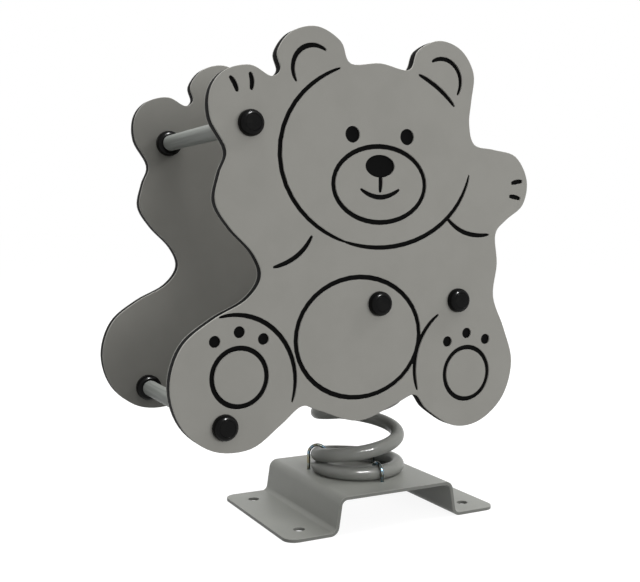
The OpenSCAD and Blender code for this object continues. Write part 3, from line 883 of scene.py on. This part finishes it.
def white_floor():
    work = bmesh.new()
    bmesh.ops.create_grid(work, x_segments=1, y_segments=1, size=FLOOR_HALF)
    material, tap = new_finish("white_floor")
    matt = tap.node("BsdfDiffuse", sockets={"Color": (FLOOR_SHADE, FLOOR_SHADE, FLOOR_SHADE, 1)})
    glow = tap.node("Emission", sockets={"Strength": FLOOR_GLOW})
    lit = tap.node("AddShader", sockets={0: matt, 1: glow})
    shown = tap.node("MixShader", sockets={0: looked_at(tap), 1: matt, 2: lit})
    tap.node("OutputMaterial", sockets={"Surface": shown})
    floor = new_piece("floor", work, material)
    floor.location.z = -FLOOR_DROP


def white_air():
    world = bpy.data.worlds.new("studio")
    world.use_nodes = True
    world.node_tree.nodes.clear()
    tap = Tap(world.node_tree)
    light = tap.node("Background", sockets={"Color": (1, 1, 1, 1), "Strength": AIR_LIGHT})
    shown = tap.node("Background", sockets={"Color": (1, 1, 1, 1), "Strength": AIR_SHOWN})
    air = tap.node("MixShader", sockets={0: looked_at(tap), 1: light, 2: shown})
    tap.node("OutputWorld", sockets={"Surface": air})
    bpy.context.scene.world = world


white_floor()
white_air()
bpy.context.scene.view_settings.view_transform = "Standard"
print("floor and air ready, air light", AIR_LIGHT)

# %% [markdown]
# Soft light comes from four wide lamps.
# One lamp alone would shade one side and leave the back dark. A pair in front and behind lights the
# boards. One nearly overhead and one behind the rider reach in between the boards, down to the ground
# plate. They are hidden from mirrors, or each would show as a white patch on the black caps.

# %% Soft lamps
AT_BOARDS = (0, 0, 0.45)
AT_PLATE = (0, 0, 0.1)
BOARD_PANE = (3.2, 0.9)
TOP_PANE = (1.0, 1.4)
REAR_PANE = (1.4, 1.4)
BOARD_WATTS = 94.0
TOP_WATTS = 50.0
REAR_WATTS = 61.0


def lamp(name, place, target, size, watts):
    """An area lamp, with its size as width and height."""
    made = bpy.data.objects.new(name, bpy.data.lights.new(name, "AREA"))
    made.data.shape = "RECTANGLE"
    made.data.size, made.data.size_y = size
    made.data.energy = watts
    made.location = place
    made.rotation_euler = (Vector(target) - Vector(place)).to_track_quat("-Z", "Y").to_euler()
    bpy.context.scene.collection.objects.link(made)
    return made


def soft_lamp(*placing):
    lamp(*placing).visible_glossy = False


soft_lamp("front_lamp", (0.9, -3.9, 0.95), AT_BOARDS, BOARD_PANE, BOARD_WATTS)
soft_lamp("back_lamp", (0.9, 3.9, 0.95), AT_BOARDS, BOARD_PANE, BOARD_WATTS)
soft_lamp("top_lamp", (-0.45, -0.1, 3.2), AT_PLATE, TOP_PANE, TOP_WATTS)
soft_lamp("rear_lamp", (2.2, -0.4, 2.6), AT_PLATE, REAR_PANE, REAR_WATTS)
print("soft lamps:", 2 * BOARD_WATTS + TOP_WATTS + REAR_WATTS, "W in all")

# %% [markdown]
# The sharp lights come from four lamps that leave matt surfaces alone, as strip lamps nearly do.
# A wide one is for the spring, and the boards shade it, or the far side of the coil would glare. A
# weaker one in the same place is for the clips, which are far better mirrors. On each side a tall one
# is for the caps and collars that face it. The last three reach their small pieces past whatever
# stands between. One bright lamp for all would blow out the zinc before the black caps showed a light.

# %% Sharp lamps
AT_SPRING = (0, 0, 0.2)
SPRING_LAMP_PLACE = (-0.5, -2.5, 1.95)
SPRING_PANE = (1.6, 0.7)
CAP_PANE = (0.5, 2.5)
SPRING_WATTS = 900.0
CLIP_WATTS = 200.0
CAP_WATTS = 1700.0
FACING_SIDES = {-1: ("_cap_left", "_collar_right"), 1: ("_cap_right", "_collar_left")}


def sharp_lamp(pieces, *placing, shaded=False):
    """A lamp that draws sharp lights on these pieces alone."""
    made = lamp(*placing)
    made.visible_diffuse = False
    made.data.use_shadow = shaded
    lit = bpy.data.collections.new(made.name + "_pieces")
    for piece in pieces:
        lit.objects.link(piece)
    made.light_linking.receiver_collection = lit


def pieces_ending(endings):
    return [piece for piece in bpy.context.scene.objects if piece.name.endswith(endings)]


sharp_lamp([lower_half, upper_half], "spring_lamp", SPRING_LAMP_PLACE, AT_SPRING, SPRING_PANE,
           SPRING_WATTS, shaded=True)
sharp_lamp(pieces_ending("_clips"), "clip_lamp", SPRING_LAMP_PLACE, AT_SPRING, SPRING_PANE, CLIP_WATTS)
for side, endings in FACING_SIDES.items():
    facing = pieces_ending(endings)
    sharp_lamp(facing, "lamp_for" + endings[0], (0.6, 4.0 * side, 5.05), (0, 0.2 * side, 0.45),
               CAP_PANE, CAP_WATTS)
    print("one tall lamp for", len(facing), "caps and collars")
